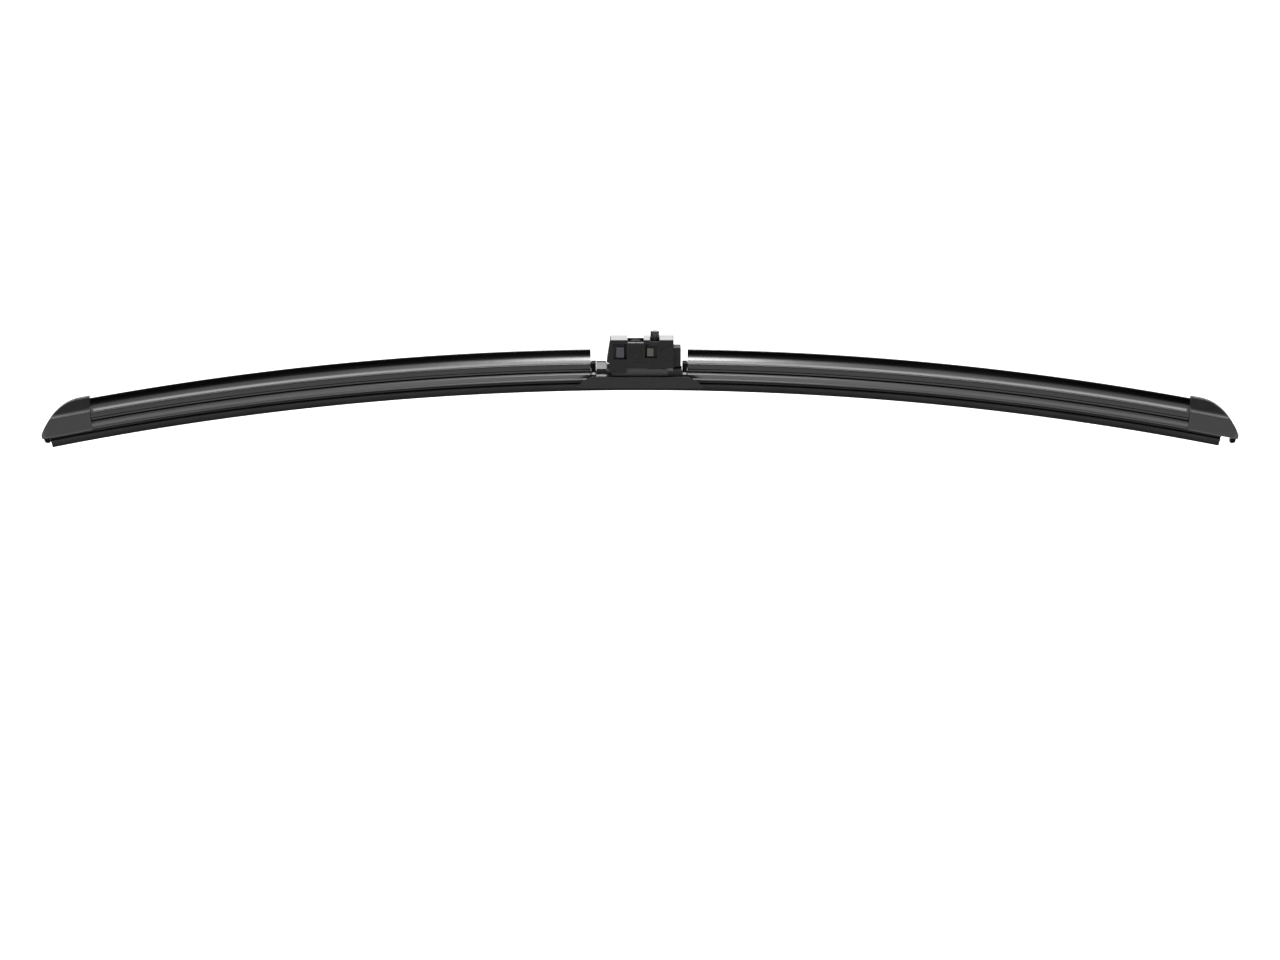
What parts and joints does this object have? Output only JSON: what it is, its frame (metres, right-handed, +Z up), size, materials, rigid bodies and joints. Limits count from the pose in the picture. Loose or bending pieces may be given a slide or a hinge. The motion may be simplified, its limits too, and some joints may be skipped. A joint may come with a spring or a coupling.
{
  "type": "windshield wiper blade",
  "caption": "Long bowed flat wiper blade with spoiler halves over spring rails, a rubber squeegee, end caps and a pivoting push-button arm adapter.",
  "frame": {"origin": "on the adapter's seat (the top face that the wiper arm rests on), on the strip between the open slot and the push button, midway across the blade", "axes": "+X along the blade's chord from the adapter's heel to its nose, +Z up and away from the glass, the spoiler's hollow face looks to -Y"},
  "size_m": [0.6496, 0.0196, 0.0642],
  "materials": {
    "squeegee_rubber": "matte natural rubber, fine lengthwise grain",
    "rail_steel": "rolled spring steel",
    "pin_steel": "turned steel",
    "coated_metal": "black powder coat, satin",
    "spoiler_gloss": "extruded black, satin gloss",
    "cap_plastic": "moulded black, fine grain",
    "shell_plastic": "moulded dark grey, matte",
    "adapter_plastic": "moulded dark grey, satin",
    "insert_plastic": "glass filled grey, satin"
  },
  "bodies": {
    "adapter": {"arm_adapter": "adapter_plastic", "joint_block": "insert_plastic", "pivot_bush_front": "insert_plastic", "pivot_bush_rear": "insert_plastic", "button_spring": "pin_steel"},
    "button": {"push_button": "adapter_plastic"},
    "blade": {"wiper_rubber": "squeegee_rubber", "spring_rail_front": "rail_steel", "spring_rail_rear": "rail_steel", "spoiler_left": "spoiler_gloss", "spoiler_right": "spoiler_gloss", "spoiler_plug_left": "cap_plastic", "spoiler_plug_right": "cap_plastic", "end_cap_left": "cap_plastic", "end_cap_right": "cap_plastic", "rail_clip_left": "rail_steel", "rail_clip_right": "rail_steel", "rail_saddle": "coated_metal", "base_shell": "shell_plastic", "pivot_pin": "pin_steel"}
  },
  "joints": [
    {"name": "blade_pivot", "type": "hinge", "parent": "adapter", "child": "blade", "pos_m": [-0.0061, 0, -0.007], "axis": [0, 1, 0], "range_deg": [-6, 6]},
    {"name": "button_press", "type": "slide", "parent": "adapter", "child": "button", "axis": [0, 0, -1], "range_m": [0, 0.0038], "stiffness_N_per_m": 1500, "springref_m": -0.002, "deforming": ["button_spring"]}
  ]
}
